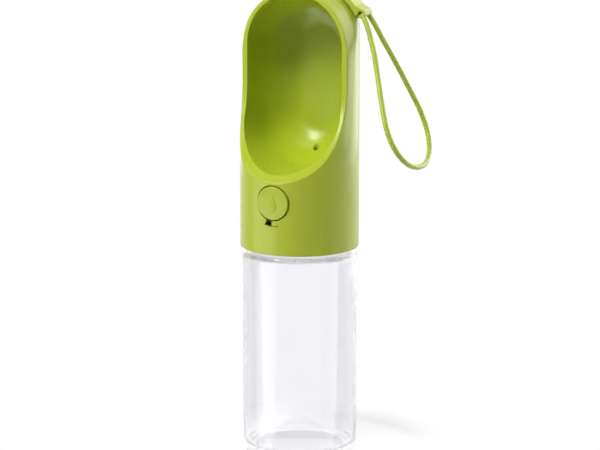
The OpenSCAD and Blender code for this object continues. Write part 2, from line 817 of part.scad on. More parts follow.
module strap_pin() {
  color(steel) {
    translate([0, strap_y - ear_side_gap - ear_thick - 0.2, pin_z]) rotate([-90, 0, 0]) {
      cylinder(r = pin_r, h = pin_l + 0.4);
      translate([0, 0, -pin_head_t]) cylinder(r = pin_head_r, h = pin_head_t);
      translate([0, 0, pin_l + 0.4]) cylinder(r = pin_head_r, h = pin_head_t);
    }
  }
}

module strap_band() {
  color(lime) difference() {
    union() {
      translate([0, strap_y, arch_z]) rotate([-90, 0, 0]) rotate([0, 0, -90])
        rotate_extrude(angle = strap_angle) translate([strap_in_r, 0]) square([strap_t, strap_w]);
      translate([0, strap_y, pin_z]) rotate([-90, 0, 0]) cylinder(r = eye_r, h = strap_w);
      translate([bulb_x, strap_y + 1, bulb_z]) rotate([-90, 0, 0]) cylinder(r = bulb_r, h = strap_w - 2);
    }
    translate([0, strap_y - past, pin_z]) rotate([-90, 0, 0])
      cylinder(r = pin_r + 0.06, h = strap_w + 2 * past);
    translate([bulb_x, strap_y - past, bulb_z]) rotate([-90, 0, 0])
      cylinder(r = bulb_hole_r, h = 4);
  }
}

module strap_loop() {
  color(lime) tube(loop_route, cord_d / 2, cord_sides);
}

bottle();
neck_gasket();
head_shell();
trough_liner();
thread_collar();
head_screws();
filter_housing();
filter_lid();
carbon_core();
filter_pad();
valve_body();
valve_screws();
inlet_gasket();
riser_tube();
end_plug();
plug_oring();
shaft_seal();
seal_retainer();
valve_stem();
valve_disc();
return_spring();
button_cap();
lock_ring();
strap_pin();
strap_band();
strap_loop();
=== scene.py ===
"""Travel water bottle for dogs: the looks of its pieces, built around the CAD frame."""

import json
import math

import bmesh
import bpy
import numpy as np
from mathutils import Matrix, Vector

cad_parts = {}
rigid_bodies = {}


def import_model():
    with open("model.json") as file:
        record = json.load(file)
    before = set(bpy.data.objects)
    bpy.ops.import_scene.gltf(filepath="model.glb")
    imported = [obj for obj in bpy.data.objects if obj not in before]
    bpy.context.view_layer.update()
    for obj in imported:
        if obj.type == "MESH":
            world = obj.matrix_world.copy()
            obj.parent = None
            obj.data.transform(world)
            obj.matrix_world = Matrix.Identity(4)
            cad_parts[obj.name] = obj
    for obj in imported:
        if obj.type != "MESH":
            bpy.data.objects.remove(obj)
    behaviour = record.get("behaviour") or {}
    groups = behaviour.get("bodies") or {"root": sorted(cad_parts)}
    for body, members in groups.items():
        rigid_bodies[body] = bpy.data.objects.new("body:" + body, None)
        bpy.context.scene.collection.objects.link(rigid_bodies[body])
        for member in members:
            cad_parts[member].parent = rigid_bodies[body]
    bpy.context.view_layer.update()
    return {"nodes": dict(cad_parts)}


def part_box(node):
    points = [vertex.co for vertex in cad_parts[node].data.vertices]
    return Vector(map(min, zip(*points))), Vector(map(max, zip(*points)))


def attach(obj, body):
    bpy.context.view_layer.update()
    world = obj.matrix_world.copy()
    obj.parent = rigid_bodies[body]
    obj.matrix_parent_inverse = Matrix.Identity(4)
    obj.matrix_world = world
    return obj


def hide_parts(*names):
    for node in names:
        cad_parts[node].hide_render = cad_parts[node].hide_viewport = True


bl_info = {
    "name": "Dog travel bottle",
    "version": (1, 0, 0),
    "blender": (4, 5, 0),
    "location": "3D View > Sidebar > Dog Bottle",
    "description": "Builds a dog's travel water bottle with its drinking trough, button and strap",
    "category": "Object",
}

for leftover in list(bpy.data.objects):
    bpy.data.objects.remove(leftover)
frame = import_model()
MM = 0.001

# The studio
# What glossy pieces mirror turns from dark to white between two headings. The third value is the dark.
SKY_MIRROR = (-0.6, 0.35, 0.06)
FLOOR_MIRROR = (-0.3, 0.35, 0.04)
# The floor's shadow fades between two distances. Near the object the glow's share and level are these.
SHADOW_ZONE = (0.055, 0.1)
GLOW_SHARE = 0.5
NEAR_GLOW = 0.66
# The white band on the mirrored floor: where it starts, its heading, half widths, far end and level
BAND_START = (-0.004, -0.0335, 0)
BAND_TURN = math.radians(-47)
BAND_HALF = (math.radians(18), math.radians(34))
BAND_END = (0.75, 1.2)
BAND_LEVEL = 2.7

# The photograph's view
AZIMUTH = math.radians(27.1)
ELEVATION = math.radians(11.99)
DISTANCE = 1.6
VIEW_WIDTH = 0.3438
AIM = (0.00017, 0.00014, 0.13222)
SENSOR = 36.0

# The plastics' surface, and how solid the clear one is when seen and when it casts a shadow
GRAIN_SPREAD = (0.3, 0.7)
WAVE_HEIGHT = 6.0
RELIEF_HEIGHT = 0.0002
SEEN_SOLID = 0.8
SHADOW_SOLID = 0.3

# The head's form, in millimetres
# The arch's trim ends this far behind the axis. It starts below the arch's centre and grows over a height.
TRIM_END = 4
TRIM_LOW, TRIM_RISE = 10, 14
# The back edges' rounding grows from the trim's end over a length, and over a height.
FRONT_ROUND, BACK_ROUND = 0.3, 5.0
ROUND_LENGTH, ROUND_RISE = 22, 8
# Reaches between which the rim is looked for, a reach beyond the head, and how often a range is halved
RIM_REACH = (20.0, 45.0)
FAR_REACH = 90.0
HALVINGS = 44

# Details, in millimetres and degrees
SLOT_R = 13.6
SLOT_ANGLES = (-15.5, 21.5)
SLOT_INSIDE = 1.0
CUT_BEFORE, CUT_BEHIND = 3, 6
EAR_THICK, EAR_FOOT, EAR_GAP = 2.5, 2.5, 0.3
OUTLET_Z, DRILL_LENGTH = 174, 24
PIN_HOLE_R, DIMPLE_R, BLEND_R = 1.31, 1.1, 2.2


def mm_size(node, axis):
    """Size of a CAD node along one axis, in millimetres."""
    low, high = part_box(node)
    return (high[axis] - low[axis]) / MM


def mm_end(node, axis, end):
    """Where a CAD node ends along one axis, in millimetres: end 0 is low and 1 is high."""
    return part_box(node)[end][axis] / MM


# Sizes and colours


def length_value(name, description, millimetres):
    """A length for the panel."""
    return bpy.props.FloatProperty(
        name=name, description=description, default=millimetres * MM, min=0.0,
        precision=5, subtype="DISTANCE", unit="LENGTH",
    )


def colour_value(name, description, rgb):
    """A colour for the panel."""
    return bpy.props.FloatVectorProperty(
        name=name, description=description, default=rgb, size=3, min=0.0, max=1.0,
        subtype="COLOR",
    )


class DogBottleSizes(bpy.types.PropertyGroup):
    bottle_r: length_value("Bottle radius", "Outer radius of the clear bottle", mm_size("bottle", 0) / 2)
    bottle_wall: length_value("Bottle wall", "Thickness of the bottle's wall", 1.9)
    bottle_floor: length_value("Bottle floor", "Thickness of the bottle's floor", 3.2)
    shoulder_h: length_value("Shoulder height", "Height of the bottle's shoulder", 120.2)
    shoulder_round: length_value("Shoulder round", "Radius round the bottle's shoulder", 3.0)
    base_round: length_value("Base round", "Radius round the bottle's base", 2.5)
    base_hollow: length_value("Base hollow", "Depth of the hollow under the base", 1.2)
    foot_w: length_value("Foot width", "Width of the ring the bottle stands on", 5.0)
    neck_r: length_value("Neck radius", "Outer radius of the neck", 24.3)
    neck_top: length_value("Neck top", "Height of the neck's upper end", mm_end("bottle", 2, 1))
    thread_h: length_value("Thread height", "Height of the thread above the neck", 1.7)
    thread_pitch: length_value("Thread pitch", "Rise of the thread in one turn", 5.0)
    thread_start: length_value("Thread start", "Height of the thread's lower end", 124.7)
    head_r: length_value("Head radius", "Outer radius of the head", mm_size("head_shell", 0) / 2)
    head_low: length_value("Head edge", "Height of the head's lower edge", mm_end("head_shell", 2, 0))
    arch_r: length_value("Arch radius", "Radius of the arch over the head", 34.6)
    arch_z: length_value("Arch height", "Height of the arch's centre", 235.4)
    arch_trim: length_value("Arch trim", "How much smaller the arch is at the rim than farther back", 1.85)
    crown_r: length_value("Crown radius", "Radius of the crown behind the arch", 42.0)
    shell_wall: length_value("Shell wall", "Thickness of the head's shell", 1.8)
    shell_seam: length_value("Seam", "Gap between the shell and the trough", 0.05)
    rim_y: length_value("Rim place", "Distance of the rim in front of the axis", 6.8)
    rim_z: length_value("Rim curve height", "Height at which the rim's curve starts", 216.145)
    rim_r: length_value("Rim curve", "Radius of the rim's hollow curve", 66.5)
    rim_bevel: length_value("Rim edge", "Rounding of the rim's outer edge", 0.8)
    lip_bevel: length_value("Lip edge", "Rounding of the lip's inner edge", 0.9)
    scoop_r: length_value("Trough half width", "Half width of the trough", 30.0)
    scoop_low: length_value("Trough's low centre", "Height of the lower round end's centre", 196.2)
    scoop_high: length_value("Trough's high centre", "Height of the upper round end's centre", 236.0)
    scoop_back: length_value("Trough's back", "Distance of the back wall behind the axis", 25.5)
    scoop_round: length_value("Trough's round", "Radius between the trough's sides and its back", 21.0)
    liner_wall: length_value("Trough wall", "Thickness of the trough's wall", 1.8)
    outlet_r: length_value("Outlet radius", "Radius of the hole that fills the trough", 1.5)
    outlet_y: length_value("Outlet place", "Distance of that hole behind the axis", 21.0)
    button_z: length_value("Button height", "Height of the button's centre", 151.0)
    button_hole_r: length_value("Button hole", "Radius of the hole for the button", 10.3)
    button_r: length_value("Button radius", "Radius of the button's face", mm_size("button_cap", 0) / 2)
    button_edge: length_value("Button edge", "Rounding round the button's face", 0.5)
    strap_mid: length_value("Strap place", "Distance of the strap's middle behind the axis", 15.0)
    strap_w: length_value("Strap width", "Width of the strap's band", mm_size("strap_band", 1))
    strap_t: length_value("Strap thickness", "Thickness of the band", 3.2)
    strap_gap: length_value("Strap gap", "Gap between the band and the arch", 0.6)
    pin_z: length_value("Pin height", "Height of the strap's pin", 273.9)
    eye_r: length_value("Eye radius", "Outer radius of the strap's eye", 3.4)
    bulb_r: length_value("Bulb radius", "Radius of the band's end bulb", 2.8)
    cord_d: length_value("Cord diameter", "Diameter of the strap's cord", 3.0)


class DogBottleColours(bpy.types.PropertyGroup):
    lime: colour_value("Lime", "Colour of the head's plastic", (0.40, 0.48, 0.030))
    trough: colour_value("Trough", "Colour of the trough's plastic", (0.40, 0.49, 0.022))
    strap: colour_value("Strap", "Colour of the strap's rubber", (0.42, 0.50, 0.045))
    clear: colour_value("Bottle", "Tint of the clear bottle", (0.955, 0.945, 0.975))
    floor: colour_value("Floor", "Colour of the floor", (0.86, 0.86, 0.87))


def sizes():
    """The sizes that the panel holds, in millimetres."""
    group = bpy.context.scene.dog_bottle_sizes
    return {name: getattr(group, name) / MM for name in DogBottleSizes.__annotations__}


def colours():
    """The colours that the panel holds."""
    group = bpy.context.scene.dog_bottle_colours
    return {name: tuple(getattr(group, name)) for name in DogBottleColours.__annotations__}


# Materials


def feed(tree, node, values):
    """Sets a node's inputs in order, each from a number or from another node's output."""
    for slot, value in zip(node.inputs, values):
        if isinstance(value, bpy.types.NodeSocket):
            tree.links.new(value, slot)
        else:
            slot.default_value = value


def maths(tree, operation, *values, clamp=False):
    """Output of a Math node."""
    node = tree.nodes.new("ShaderNodeMath")
    node.operation = operation
    node.use_clamp = clamp
    feed(tree, node, values)
    return node.outputs[0]


def vector_maths(tree, operation, *values):
    """A Vector Math node."""
    node = tree.nodes.new("ShaderNodeVectorMath")
    node.operation = operation
    feed(tree, node, values)
    return node


def rescaled(tree, *values, way="SMOOTHSTEP"):
    """Output of a Map Range node. The values are its input, From Min, From Max, To Min and To Max."""
    node = tree.nodes.new("ShaderNodeMapRange")
    node.interpolation_type = way
    feed(tree, node, values)
    return node.outputs[0]


def mixed(tree, share, first, second):
    """Output of a Mix Shader node."""
    node = tree.nodes.new("ShaderNodeMixShader")
    feed(tree, node, (share, first, second))
    return node.outputs[0]


def grain_group():
    """Fine uneven surface of moulded plastic: a height, a roughness and a faint change of colour."""
    found = bpy.data.node_groups.get("moulded_surface")
    if found:
        return found
    group = bpy.data.node_groups.new("moulded_surface", "ShaderNodeTree")
    given = (
        ("Color", "Color", (0.5, 0.5, 0.5, 1)),
        ("Grain Scale", "Float", 2500.0),
        ("Wave Scale", "Float", 60.0),
        ("Roughness Low", "Float", 0.3),
        ("Roughness High", "Float", 0.4),
        ("Tone", "Float", 0.04),
    )
    for name, kind, default in given:
        made = group.interface.new_socket(name=name, in_out="INPUT", socket_type="NodeSocket" + kind)
        made.default_value = default
    for name, kind in (("Color", "Color"), ("Roughness", "Float"), ("Height", "Float")):
        group.interface.new_socket(name=name, in_out="OUTPUT", socket_type="NodeSocket" + kind)
    nodes, links = group.nodes, group.links
    inp, out = nodes.new("NodeGroupInput"), nodes.new("NodeGroupOutput")
    place = nodes.new("ShaderNodeTexCoord")
    fine, wide = nodes.new("ShaderNodeTexNoise"), nodes.new("ShaderNodeTexNoise")
    for noise, name, detail in ((fine, "Grain Scale", 3.0), (wide, "Wave Scale", 2.0)):
        noise.inputs["Detail"].default_value = detail
        links.new(place.outputs["Object"], noise.inputs["Vector"])
        links.new(inp.outputs[name], noise.inputs["Scale"])
    grain, waves = fine.outputs["Fac"], wide.outputs["Fac"]
    rough = rescaled(group, grain, GRAIN_SPREAD[0], GRAIN_SPREAD[1], inp.outputs["Roughness Low"],
                     inp.outputs["Roughness High"], way="LINEAR")
    tone = maths(group, "MULTIPLY_ADD", maths(group, "SUBTRACT", waves, 0.5), inp.outputs["Tone"], 1.0)
    shade = nodes.new("ShaderNodeHueSaturation")
    links.new(inp.outputs["Color"], shade.inputs["Color"])
    links.new(tone, shade.inputs["Value"])
    links.new(shade.outputs["Color"], out.inputs["Color"])
    links.new(rough, out.inputs["Roughness"])
    links.new(maths(group, "MULTIPLY_ADD", waves, WAVE_HEIGHT, grain), out.inputs["Height"])
    return group


def new_material(name):
    """A new material, with its node tree and its Principled shader."""
    mat = bpy.data.materials.new(name)
    mat.use_nodes = True
    return mat, mat.node_tree, mat.node_tree.nodes["Principled BSDF"]


def add_grain(tree, shader, rgb, roughness, bump, grain, wave, tone):
    """Joins the moulded surface's colour, roughness and relief to a shader."""
    skin = tree.nodes.new("ShaderNodeGroup")
    skin.node_tree = grain_group()
    feed(tree, skin, ((*rgb, 1), grain, wave, *roughness, tone))
    relief = tree.nodes.new("ShaderNodeBump")
    relief.inputs["Strength"].default_value = bump
    relief.inputs["Distance"].default_value = RELIEF_HEIGHT
    tree.links.new(skin.outputs["Color"], shader.inputs["Base Color"])
    tree.links.new(skin.outputs["Roughness"], shader.inputs["Roughness"])
    tree.links.new(skin.outputs["Height"], relief.inputs["Height"])
    tree.links.new(relief.outputs["Normal"], shader.inputs["Normal"])


def surface(name, rgb, roughness=(0.3, 0.4), bump=0.02, grain=2500.0, wave=60.0, tone=0.04,
            metallic=0.0, subsurface=0.0, coat=0.0, sheen=0.0, specular=0.5):
    """Solid finish with the moulded surface's grain in its colour, roughness and relief."""
    mat = bpy.data.materials.get(name)
    if mat:
        return mat
    mat, tree, shader = new_material(name)
    add_grain(tree, shader, rgb, roughness, bump, grain, wave, tone)
    shader.inputs["Metallic"].default_value = metallic
    shader.inputs["Specular IOR Level"].default_value = specular
    shader.inputs["Coat Weight"].default_value = coat
    shader.inputs["Coat Roughness"].default_value = 0.12
    shader.inputs["Sheen Weight"].default_value = sheen
    if subsurface:
        shader.inputs["Subsurface Weight"].default_value = subsurface
        shader.inputs["Subsurface Radius"].default_value = (1.0, 1.0, 0.25)
        shader.inputs["Subsurface Scale"].default_value = 0.0012
    return mat


def clear_plastic(name, rgb):
    """Clear moulded plastic, slightly wavy. Most of the lamps' light passes through it."""
    mat, tree, shader = new_material(name)
    shader.inputs["Transmission Weight"].default_value = 1.0
    shader.inputs["IOR"].default_value = 1.45
    add_grain(tree, shader, rgb, (0.0, 0.035), 0.02, 900.0, 35.0, 0.03)
    path = tree.nodes.new("ShaderNodeLightPath")
    solid = maths(tree, "MULTIPLY_ADD", path.outputs["Is Shadow Ray"], SHADOW_SOLID - SEEN_SOLID, SEEN_SOLID)
    tree.links.new(solid, shader.inputs["Alpha"])
    return mat


def lime_plastic(c):
    """The head's plastic, which the button and its lock share."""
    return surface("lime_plastic", c["lime"], roughness=(0.4, 0.52), bump=0.03, grain=2600.0, wave=45.0,
                   tone=0.03, subsurface=0.06, coat=0.35, specular=0.35)


def strap_rubber(c):
    """The rubber that the strap's band and cord share."""
    return surface("strap_rubber", c["strap"], roughness=(0.34, 0.46), bump=0.03, grain=1800.0, wave=90.0,
                   tone=0.05)


def dress(obj, mat):
    """Gives an object one material."""
    obj.data.materials.clear()
    obj.data.materials.append(mat)


# Mesh helpers


def finish_mesh(name, bm, mat, sharp=35.0):
    """Makes an object in metres from a bmesh in millimetres, with smooth shading and sharp edges."""
    bmesh.ops.transform(bm, matrix=Matrix.Scale(MM, 4), verts=bm.verts)
    mesh = bpy.data.meshes.new(name)
    bm.to_mesh(mesh)
    bm.free()
    mesh.shade_smooth()
    mesh.set_sharp_from_angle(angle=math.radians(sharp))
    obj = bpy.data.objects.new(name, mesh)
    bpy.context.scene.collection.objects.link(obj)
    dress(obj, mat)
    return obj


def arc_points(centre, r, start, end, steps):
    """Points of an arc in the plane of a profile, angles in degrees."""
    return [
        (centre[0] + r * math.cos(math.radians(start + (end - start) * i / steps)),
         centre[1] + r * math.sin(math.radians(start + (end - start) * i / steps)))
        for i in range(steps + 1)
    ]


def spun(points, steps):
    """Turned shape of a profile of (radius, height) points."""
    bm = bmesh.new()
    verts = [bm.verts.new((r, 0, z)) for r, z in points]
    edges = [bm.edges.new(pair) for pair in zip(verts, verts[1:])]
    bmesh.ops.spin(bm, geom=verts + edges, cent=(0, 0, 0), axis=(0, 0, 1), dvec=(0, 0, 0),
                   angle=math.tau, steps=steps, use_merge=True)
    bmesh.ops.remove_doubles(bm, verts=bm.verts, dist=1e-4)
    bmesh.ops.dissolve_degenerate(bm, edges=bm.edges, dist=1e-5)
    bmesh.ops.recalc_face_normals(bm, faces=bm.faces)
    return bm


def mapped_grid(columns, rows, place):
    """Grid with its vertices moved to place[column, row] and merged. Each vertex keeps its row."""
    bm = bmesh.new()
    bmesh.ops.create_grid(bm, x_segments=columns, y_segments=rows, size=1.0)
    row_of = bm.verts.layers.int.new("row")
    for v in bm.verts:
        i = round((v.co.x + 1) / 2 * columns)
        j = round((v.co.y + 1) / 2 * rows)
        v[row_of] = j
        v.co = place[i % place.shape[0], j]
    bmesh.ops.remove_doubles(bm, verts=bm.verts, dist=2e-3)
    bmesh.ops.dissolve_degenerate(bm, edges=bm.edges, dist=1e-4)
    return bm, row_of


def combine(base, tools, operation):
    """Result of a boolean of bmeshes in millimetres, as a new bmesh."""
    made = []
    for i, bm in enumerate([base, *tools]):
        mesh = bpy.data.meshes.new("part%d" % i)
        bm.to_mesh(mesh)
        bm.free()
        obj = bpy.data.objects.new("part%d" % i, mesh)
        bpy.context.scene.collection.objects.link(obj)
        made.append(obj)
    for tool in made[1:]:
        step = made[0].modifiers.new(tool.name, "BOOLEAN")
        step.operation = operation
        step.solver = "EXACT"
        step.object = tool
    graph = bpy.context.evaluated_depsgraph_get()
    result = bmesh.new()
    result.from_object(made[0], graph)
    for obj in made:
        mesh = obj.data
        bpy.data.objects.remove(obj)
        bpy.data.meshes.remove(mesh)
    return result


def flat_face(corners):
    """One face with its corners at the points."""
    bm = bmesh.new()
    bmesh.ops.create_circle(bm, cap_ends=True, segments=len(corners), radius=1)
    bm.verts.ensure_lookup_table()
    for v, co in zip(bm.verts, corners):
        v.co = co
    return bm


def sweep(bm, centre, axis, angle, steps, rise=0.0):
    """Turns a face about an axis into a solid, with a rise along Z at each step."""
    bmesh.ops.spin(bm, geom=bm.verts[:] + bm.edges[:] + bm.faces[:], cent=centre, axis=axis,
                   dvec=(0, 0, rise), angle=angle, steps=steps, use_merge=False)


def plate(outline, y, thick):
    """Plate with an outline of (x, z) points, from one place along Y."""
    bm = bmesh.new()
    face = bm.faces.new([bm.verts.new((px, y, pz)) for px, pz in outline])
    made = bmesh.ops.extrude_face_region(bm, geom=[face])
    out = [v for v in made["geom"] if isinstance(v, bmesh.types.BMVert)]
    bmesh.ops.translate(bm, verts=out, vec=(0, thick, 0))
    bmesh.ops.recalc_face_normals(bm, faces=bm.faces)
    return bm


def edges_between(bm, where, least):
    """Edges that bend by more than an angle, in degrees, and whose middles are in a place."""
    found = []
    for e in bm.edges:
        if len(e.link_faces) == 2 and e.calc_face_angle(0) > math.radians(least):
            if where((e.verts[0].co + e.verts[1].co) / 2):
                found.append(e)
    return found


def bevel(bm, edges, width, segments):
    """Rounds edges of a bmesh."""
    bmesh.ops.bevel(bm, geom=edges, offset=width, offset_type="OFFSET", segments=segments, profile=0.5,
                    affect="EDGES", material=-1, clamp_overlap=True)


# The head's form


def soft_max(a, b, k):
    """The larger of two values, with the step between them rounded over k."""
    h = np.maximum(k - np.abs(a - b), 0) / k
    return np.maximum(a, b) + h * h * k / 4


def head_distance(s, p, inset):
    """Roughly how far points lie outside the head's form, drawn in by an inset."""
    x, y, z = p[..., 0], p[..., 1], p[..., 2]
    up = np.maximum(z - s["arch_z"], 0)
    wall = np.hypot(x, y) - (s["head_r"] - inset)
    near = np.clip((TRIM_END - y) / (TRIM_END + s["rim_y"]), 0, 1)
    trim = s["arch_trim"] * near * np.clip((z - s["arch_z"] + TRIM_LOW) / TRIM_RISE, 0, 1)
    arch = np.hypot(x, up) - (s["arch_r"] - trim - inset)
    crown = np.sqrt(x * x + y * y + up * up) - (s["crown_r"] - inset)
    back = np.clip((y - TRIM_END) / ROUND_LENGTH, 0, 1)
    k = FRONT_ROUND + BACK_ROUND * back * np.clip(up / ROUND_RISE, 0, 1)
    return soft_max(soft_max(wall, arch, k), crown, k)


def way_out(s, at, low, high, inset):
    """How far along their rays points leave the head's form, between two reaches. Halves the range."""
    for _ in range(HALVINGS):
        mid = (low + high) / 2
        outside = head_distance(s, at(mid), inset) > 0
        high = np.where(outside, mid, high)
        low = np.where(outside, low, mid)
    return high


def cast(s, origin, way, inset):
    """Points where rays from inside the head's form leave it."""

    def at(reach):
        return origin + way * reach[..., None]

    shape = way.shape[:-1]
    return at(way_out(s, at, np.zeros(shape), np.full(shape, FAR_REACH), inset))


def front_y(s, z):
    """Where the rim's surface lies, at a height."""
    drop = np.clip(s["rim_z"] - z, 0, s["rim_r"] - 0.1)
    return -s["rim_y"] - s["rim_r"] + np.sqrt(s["rim_r"] ** 2 - drop * drop)


LOWER_STEPS, SIDE_STEPS, UPPER_STEPS = 88, 16, 60


def opening_columns(s):
    """Columns round the trough's opening, from the front: origin height, direction and, below, angle."""
    low, high = s["scoop_low"], s["scoop_high"]
    cols = []
    for i in range(LOWER_STEPS):
        a = -90 + 180 * i / LOWER_STEPS
        cols.append((low, math.sin(math.radians(a)), -math.cos(math.radians(a)), a))
    cols += [(low + (high - low) * i / SIDE_STEPS, 1.0, 0.0, None) for i in range(SIDE_STEPS)]
    for i in range(UPPER_STEPS):
        a = math.radians(180 * i / UPPER_STEPS)
        cols.append((high, math.cos(a), math.sin(a), None))
    cols += [(high + (low - high) * i / SIDE_STEPS, -1.0, 0.0, None) for i in range(SIDE_STEPS)]
    return cols


def rim_loop(s, cols, inset):
    """Points of the rim's surface where it meets the head's form, drawn in by an inset. Also gives their
    reach from the columns' origins, and the function that finds points of the surface by their reach."""
    zo, dx, dz = (np.array([c[i] for c in cols]) for i in range(3))

    def at(rho):
        z = zo + rho * dz
        return np.stack([rho * dx, front_y(s, z), z], -1)

    rho = way_out(s, at, *(np.full(len(cols), reach) for reach in RIM_REACH), inset)
    return at(rho), rho, at


def side_paths(s, cols, rim, inset, steps):
    """Paths over the head's form from the rim to the back line, or to the lower edge, one for each column."""
    low_share = 0.72
    out = np.zeros((len(cols), steps + 1, 3))
    radius = s["head_r"] - inset
    t = np.linspace(0, 1, steps + 1)
    for i, (zo, _, _, angle) in enumerate(cols):
        start = rim[i]
        if angle is None:
            origin = np.array([0.0, 0.0, zo])
            first = start - origin
            first = first / np.linalg.norm(first)
            turn = math.acos(first[1])
            way = (np.sin((1 - t) * turn)[:, None] * first
                   + np.sin(t * turn)[:, None] * np.array([0.0, 1.0, 0.0])) / math.sin(turn)
            out[i] = cast(s, origin, way, inset)
            out[i, 0] = start
        else:
            share = abs(angle) / 90
            side = 1 if angle >= 0 else -1
            if share >= low_share:
                end_turn = 180.0 * side
                rise = (s["scoop_low"] - s["head_low"]) * (share - low_share) / (1 - low_share)
                end_z = s["head_low"] + rise
            else:
                end_turn = 180.0 * side * share / low_share
                end_z = s["head_low"]
            first_turn = math.degrees(math.atan2(start[0], -start[1]))
            turn = np.radians(first_turn + (end_turn - first_turn) * t)
            z = start[2] + (end_z - start[2]) * t
            out[i] = np.stack([radius * np.sin(turn), -radius * np.cos(turn), z], -1)
    return out


def cylinder_y(r, y_from, y_to, z, steps=96):
    """Closed cylinder along Y at a height."""
    bm = bmesh.new()
    bmesh.ops.create_cone(bm, cap_ends=True, segments=steps, radius1=r, radius2=r, depth=y_to - y_from)
    bmesh.ops.rotate(bm, verts=bm.verts, cent=(0, 0, 0), matrix=Matrix.Rotation(math.pi / 2, 3, "X"))
    bmesh.ops.translate(bm, verts=bm.verts, vec=(0, (y_from + y_to) / 2, z))
    return bm


def slot_cutter(s, y_from, y_to):
    """Wedge of a ring round the button's axis, between two angles from straight down towards -X."""
    r_in, first = s["button_hole_r"] - SLOT_INSIDE, math.radians(SLOT_ANGLES[0])
    corners = [(r_in, y_from), (SLOT_R, y_from), (SLOT_R, y_to), (r_in, y_to)]
    bm = flat_face([(-r * math.sin(first), y, s["button_z"] - r * math.cos(first)) for r, y in corners])
    turn = math.radians(SLOT_ANGLES[1] - SLOT_ANGLES[0])
    sweep(bm, (0, 0, s["button_z"]), (0, 1, 0), turn, 12)
    bmesh.ops.recalc_face_normals(bm, faces=bm.faces)
    return bm


def strap_ear(s, y):
    """One of the two ears that hold the strap's pin, from the arch up."""
    r, foot = s["eye_r"], s["pin_z"] - s["eye_r"] - EAR_FOOT
    outline = [(-r, foot)] + arc_points((0, s["pin_z"]), r, 180, 0, 18) + [(r, foot)]
    bm = plate(outline, y, EAR_THICK)
    bevel(bm, edges_between(bm, lambda p: p.z > foot + 0.5, 60), 0.45, 3)
    return bm


# Pieces


# One side of the cord's loop, in millimetres from the bulb: along X, away from the middle, and up
LOOP_SIDE = [
    (0.6, 3.2, -0.4), (2.3, 4.0, -3.0), (5.3, 5.3, -8.5), (8.0, 7.0, -14.6), (10.8, 9.2, -20.8),
    (13.2, 11.6, -26.8), (15.6, 14.2, -33.0), (18.3, 17.2, -40.3), (21.1, 20.1, -47.8),
    (23.8, 22.6, -54.8), (26.2, 24.0, -61.5), (28.3, 23.9, -66.8), (30.3, 22.6, -71.8),
    (32.4, 19.5, -76.8), (34.2, 14.5, -81.2), (35.6, 8.0, -84.0),
]
LOOP_LOW = (36.2, 0.0, -85.0)
STRAP_ANGLE = 59.5


def bulb_centre(s):
    """Where the middle of the band's end bulb lies, along X and Z."""
    r = s["arch_r"] + s["strap_gap"] + s["bulb_r"] + 0.3
    a = math.radians(STRAP_ANGLE)
    return r * math.sin(a), s["arch_z"] + r * math.cos(a)


def strap_route(s):
    """Points of the cord's route, in metres, from the bulb round the loop and back."""
    bx, bz = bulb_centre(s)
    side = [(bx + x, s["strap_mid"] - w, bz + z) for x, w, z in LOOP_SIDE]
    low = [(bx + LOOP_LOW[0], s["strap_mid"] + LOOP_LOW[1], bz + LOOP_LOW[2])]
    other = [(bx + x, s["strap_mid"] + w, bz + z) for x, w, z in reversed(LOOP_SIDE)]
    return [Vector(p) * MM for p in side + low + other]


class DOGBOTTLE_OT_camera(bpy.types.Operator):
    """Adds the camera at the photograph's viewing angle"""
    bl_idname = "dogbottle.camera"
    bl_label = "Camera"

    def execute(self, context):
        flat = math.cos(ELEVATION)
        back = Vector((math.sin(AZIMUTH) * flat, -math.cos(AZIMUTH) * flat, math.sin(ELEVATION)))
        data = bpy.data.cameras.new("camera")
        data.sensor_width = SENSOR
        data.lens = SENSOR * DISTANCE / VIEW_WIDTH
        data.clip_start, data.clip_end = 0.01, 20.0
        camera = bpy.data.objects.new("camera", data)
        camera.location = Vector(AIM) + back * DISTANCE
        camera.rotation_mode = "QUATERNION"
        camera.rotation_quaternion = (-back).to_track_quat("-Z", "Y")
        context.scene.collection.objects.link(camera)
        context.scene.camera = camera
        return {"FINISHED"}


class DOGBOTTLE_OT_strap_cord(bpy.types.Operator):
    """Builds the round cord of the strap, which loops down from the band"""
    bl_idname = "dogbottle.strap_cord"
    bl_label = "Strap cord"

    def execute(self, context):
        s, c = sizes(), colours()
        route = strap_route(s)
        curve = bpy.data.curves.new("strap_cord", "CURVE")
        curve.dimensions = "3D"
        curve.bevel_depth = s["cord_d"] / 2 * MM
        curve.bevel_resolution = 12
        curve.resolution_u = 12
        curve.use_fill_caps = True
        line = curve.splines.new("BEZIER")
        line.bezier_points.add(len(route) - 1)
        for point, co in zip(line.bezier_points, route):
            point.co = co
            point.handle_left_type = point.handle_right_type = "AUTO"
        line.resolution_u = 12
        cord = bpy.data.objects.new("strap_cord", curve)
        context.scene.collection.objects.link(cord)
        cord.shadow_terminator_geometry_offset = 0.2
        dress(cord, strap_rubber(c))
        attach(cord, "strap")
        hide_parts("strap_loop")
        return {"FINISHED"}


